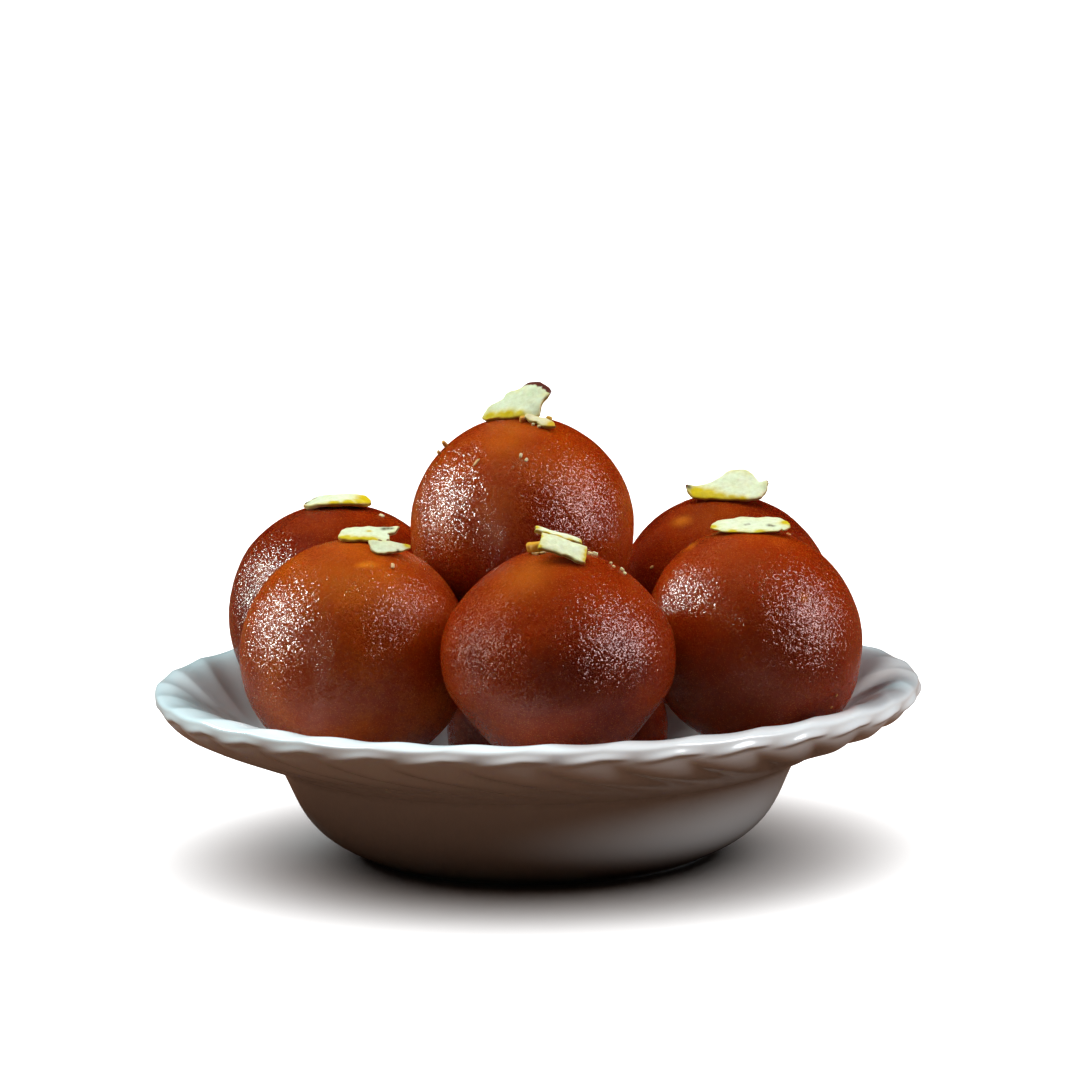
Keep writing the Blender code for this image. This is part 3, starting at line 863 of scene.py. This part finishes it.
def slice_surface(cut, seed):
    """A thin slab between two long edges: two sheets that close together all round.

    A point runs straight from the front edge to the back one, with noise in it near the rim. Half
    the thickness falls off as the root of one minus the fourteenth power of the distance from the
    middle, so the cut edge stands upright and is only rounded a little. Bends lift it as soft bells.
    """
    s, t = (np.sin(np.pi / 2 * np.linspace(-1, 1, n + 1)) for n in SLICE_STEPS)
    front, back = (curve_through(cut[edge], (s + 1) / 2) for edge in ("front", "back"))
    across = ((t + 1) / 2)[None, :, None]
    flat = (front[:, None] * (1 - across) + back[:, None] * across).reshape(-1, 2)
    u, v = (a.ravel() for a in np.meshgrid(s, t, indexing="ij"))
    border = np.maximum(np.abs(u), np.abs(v))
    place = np.concatenate([flat, np.zeros((len(flat), 1))], axis=1)
    for size, depth in ((1.9, 0.26), (0.8, 0.12)):
        shift = [smooth_noise(place / size + seed, seed + k) for k in (1, 2)]
        flat = flat + depth * (border ** 3)[:, None] * np.stack(shift, axis=1)
    middle = 0.12 * smooth_noise(place / 2.8 + seed, seed + 3) + 0.05 * smooth_noise(place + seed, seed + 4)
    for x, y, reach, rise in cut.get("bends", ()):
        middle += rise * spots(flat, [(x, y, reach)])
    half = cut["thick"] / 2 * np.sqrt(np.maximum(1 - border ** 14, 0))
    half *= 1 + 0.16 * smooth_noise(place / 1.7 + seed, seed + 5)
    sheets = [np.concatenate([flat, (middle + side * half)[:, None]], axis=1) for side in (1, -1)]
    quads = grid_faces(len(s), len(t))
    points, faces, first = welded(MM * np.concatenate(sheets),
                                  np.concatenate([quads, quads[:, ::-1] + len(flat)]), WELD)
    return points, faces, np.tile(border, 2)[first], np.tile(flat, (2, 1))[first]


def rim_share(border, start):
    """From 0, where the distance from the middle is start, to 1 at the cut edge, where it is 1."""
    return np.clip((border - start) / (1 - start), 0, 1) ** 2


class SWEETS_OT_almonds(bpy.types.Operator):
    """Make the almond slices on the sweets"""

    bl_idname = "sweets.almonds"
    bl_label = "Almond slices"

    def execute(self, context):
        material = almond_material(context.scene.sweets_almond)
        for seed, (name, cut) in enumerate(ALMONDS.items(), start=11):
            points, faces, border, flat = slice_surface(cut, seed)
            spin = [Matrix.Rotation(math.radians(a), 3, axis) for a, axis in zip(cut["turn"], "XYZ")]
            low, high = box_of(name)
            points = points @ np.array(spin[2] @ spin[1] @ spin[0]).T + (low + high) / 2
            if "rests_on" in cut:
                clear = (points[:, 2] - height_of_sweet(cut["rests_on"], points)).min()
                points[:, 2] -= clear - REST_GAP
            yellow, skin, marks = (spots(flat, cut.get(key, ())) for key in ("yellow", "skin", "marks"))
            edge = 0.3 * rim_share(border, 0.4) + 0.3 * rim_share(border, 0.86) + 1.4 * yellow
            piece = new_piece(name + "_slice", points, faces, material, "almond", skin=skin, marks=marks,
                              edge=np.clip(edge, 0, 1), rim=rim_share(border, 0.95),
                              syrup=cut.get("syrup", 0.0))
            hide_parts(name)
        return {"FINISHED"}


class SWEETS_OT_crumbs(bpy.types.Operator):
    """Make the chips and crumbs of almond that lie on the sweets"""

    bl_idname = "sweets.crumbs"
    bl_label = "Crumbs"

    def execute(self, context):
        chance = np.random.default_rng(5)
        direction, faces = sphere_grid(6)
        points, quads, tones, soaked = [], [], [], []
        for seed, (name, bearing, height, size, turn, tone, sunk) in enumerate(CRUMBS):
            out, across, up = facing(bearing, height)
            body = np.sign(direction) * np.abs(direction) ** 0.6
            body *= 1 + 0.22 * smooth_noise(direction * 1.6 + 3.7 * seed, seed)[:, None]
            body = body * np.array(size) / 2 * MM
            angle = math.radians(turn)
            along = math.cos(angle) * across + math.sin(angle) * up
            base = placed_sweet(name, out[None])[0] + out * size[2] * MM * (0.5 - sunk)
            points.append(base + body @ np.stack([along, np.cross(out, along), out]))
            quads.append(faces + len(direction) * seed)
            tones.append(np.full(len(direction), tone))
            # Low crumbs get the full syrup colour as painted glints.
            soaked.append(np.full(len(direction), max(chance.uniform(0.1, 0.9), -height / AMBER_GLINT_BELOW)))
        material = bpy.data.materials.get("sliced_almond") or almond_material(context.scene.sweets_almond)
        new_piece("almond_crumbs", np.concatenate(points), np.concatenate(quads), material, "almond",
                  edge=np.concatenate(tones), syrup=np.concatenate(soaked), rim=0.0, skin=0.0, marks=0.0)
        return {"FINISHED"}


# --- stage ---

class StageSettings(bpy.types.PropertyGroup):
    distance: metres("Camera distance", "From the bowl's middle to the camera", 1.2)
    aim_drop: metres("Aim drop", "How far under the rim the bowl's middle is taken", 0.8 * MM)
    elevation: degrees("Camera elevation", "Height angle of the camera", 10.02)
    lens: number("Lens", "Focal length in millimetres", 179.28)
    tilt: degrees("Tilt", "How far the camera looks over the bowl's middle", 1.49)
    pan: degrees("Pan", "How far the camera looks to the right of it", 0.0634)
    roll: degrees("Roll", "How far the camera leans", 1.0027)


def sun(name, direction, strength, spread, color, receivers, shine=True, soak=True):
    """A far soft light: direction points from the bowl to the light, spread is its width in degrees.

    Without shine it isn't mirrored, and without soak it is only mirrored.
    """
    light = bpy.data.lights.new(name, "SUN")
    light.energy = strength
    light.angle = math.radians(spread)
    light.color = color
    lamp = bpy.data.objects.new(name, light)
    lamp.rotation_euler = Vector(direction).to_track_quat("Z", "Y").to_euler()
    bpy.context.scene.collection.objects.link(lamp)
    lamp.light_linking.receiver_collection = receivers
    lamp.visible_glossy = shine
    lamp.visible_diffuse = soak


def floor_material():
    """A plain pale floor to look at, which throws back the warm dim light of a wooden table."""
    material, tree, shader = start_material("plain_floor", (0.92, 0.92, 0.92))
    feed_all(tree, shader, Roughness=1.0, Specular_IOR_Level=0.0)
    wood = add_node(tree, "ShaderNodeBsdfDiffuse", Color=(0.12, 0.066, 0.044))
    path = tree.nodes.new("ShaderNodeLightPath")
    choice = add_node(tree, "ShaderNodeMixShader", Fac=path.outputs["Is Camera Ray"])
    feed(tree, choice.inputs[1], wood.outputs[0])
    feed(tree, choice.inputs[2], shader.outputs[0])
    feed_all(tree, tree.nodes["Material Output"], Surface=choice.outputs[0])
    return material


def set_lamps(floor):
    """Lamps for the food, for the sweets nearest the window, for the bowl and for the floor alone."""
    food, open_food, glass, ground = (bpy.data.collections.new(f"lit {part}")
                                      for part in ("food", "open food", "bowl", "floor"))
    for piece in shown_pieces():
        (glass if piece.name.startswith("glass") else food).objects.link(piece)
        if piece.name in NEAR_WINDOW:
            open_food.objects.link(piece)
    ground.objects.link(floor)
    sun("food_over", (-0.2, 0.12, 0.94), 2.8, 70, (1, 0.96, 0.9), food, shine=False)
    sun("food_left", (-0.9, 0.1, 0.4), 1.2, 44, (0.85, 1, 0.92), food, shine=False)
    sun("food_sheen", (-0.92, 0.05, 0.3), 1.8, 34, (1, 0.84, 0.76), food, soak=False)
    sun("food_window", (-0.9, 0.2, 0.38), 4.8, 14, (0.8, 1, 0.94), open_food, soak=False)
    sun("food_right", (0.86, -0.26, 0.42), 5.2, 40, (1, 0.82, 0.84), food, soak=False)
    sun("food_glow", (0.85, 0.3, 0.38), 2, 50, (1, 0.92, 0.85), food, shine=False)
    sun("bowl_left", (-0.7, 0.42, 0.57), 2.8, 14, (0.62, 0.94, 1), glass)
    sun("bowl_right", (0.72, -0.34, 0.6), 2.7, 34, (0.97, 0.98, 1), glass)
    sun("bowl_over", (-0.66, -0.2, 0.72), 1.5, 18, (1, 0.97, 0.95), glass)
    sun("floor_over", (0, 0.1, 1), 5.4, 112, (1, 1, 1), ground)


class SWEETS_OT_stage(bpy.types.Operator):
    """Set the pale floor, the soft lights and the camera"""

    bl_idname = "sweets.stage"
    bl_label = "Stage"

    def execute(self, context):
        scene = context.scene
        s = scene.sweets_stage
        mesh = bpy.data.meshes.new("floor")
        corners = ((-1, -1), (1, -1), (1, 1), (-1, 1))
        mesh.from_pydata([(x * FLOOR_REACH, y * FLOOR_REACH, 0) for x, y in corners], [], [(0, 1, 2, 3)])
        mesh.materials.append(floor_material())
        floor = bpy.data.objects.new("floor", mesh)
        scene.collection.objects.link(floor)
        floor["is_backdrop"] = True
        set_lamps(floor)

        world = bpy.data.worlds.new("studio")
        scene.world = world
        world.use_nodes = True
        tree = world.node_tree
        path = tree.nodes.new("ShaderNodeLightPath")
        color = mix_color(tree, path.outputs["Is Camera Ray"], (0.004, 0.004, 0.004), (1.0, 1.0, 1.0))
        feed_all(tree, tree.nodes["Background"], Color=color)

        camera = bpy.data.cameras.new("camera")
        camera.lens = s.lens
        camera.clip_end = 200.0
        eye = bpy.data.objects.new("camera", camera)
        middle = Vector((0, 0, scene.sweets_bowl.rim_height - s.aim_drop))
        out = Vector((0, -math.cos(s.elevation), math.sin(s.elevation)))
        eye.location = middle + s.distance * out
        aim = out.to_track_quat("Z", "Y").to_matrix()
        turn = (Matrix.Rotation(s.tilt, 3, "X") @ Matrix.Rotation(-s.pan, 3, "Y")
                @ Matrix.Rotation(-s.roll, 3, "Z"))
        eye.rotation_euler = (aim @ turn).to_euler()
        scene.collection.objects.link(eye)
        scene.camera = eye
        return {"FINISHED"}


class SWEETS_PT_panel(bpy.types.Panel):
    """The sidebar's list of what can be made"""

    bl_label = "Gulab jamun bowl"
    bl_idname = "SWEETS_PT_panel"
    bl_space_type = "VIEW_3D"
    bl_region_type = "UI"
    bl_category = "Sweets"

    def draw(self, context):
        for operator in OPERATORS:
            self.layout.operator(operator.bl_idname)


GROUPS = {"sweets_bowl": BowlSettings, "sweets_dough": SweetSettings, "sweets_almond": AlmondSettings,
          "sweets_stage": StageSettings}
OPERATORS = (SWEETS_OT_bowl, SWEETS_OT_sweets, SWEETS_OT_almonds, SWEETS_OT_crumbs, SWEETS_OT_stage)


def register():
    for name, group in GROUPS.items():
        bpy.utils.register_class(group)
        setattr(bpy.types.Scene, name, PointerProperty(type=group))
    for cls in OPERATORS + (SWEETS_PT_panel,):
        bpy.utils.register_class(cls)


def unregister():
    for cls in (SWEETS_PT_panel,) + OPERATORS[::-1]:
        bpy.utils.unregister_class(cls)
    for name, group in GROUPS.items():
        delattr(bpy.types.Scene, name)
        bpy.utils.unregister_class(group)


def main():
    register()
    bpy.context.scene.view_settings.view_transform = "Standard"
    bpy.context.scene.view_settings.look = "Medium High Contrast"
    bpy.ops.sweets.bowl()
    bpy.ops.sweets.sweets()
    bpy.ops.sweets.almonds()
    bpy.ops.sweets.crumbs()
    bpy.ops.sweets.stage()


if __name__ == "__main__":
    main()
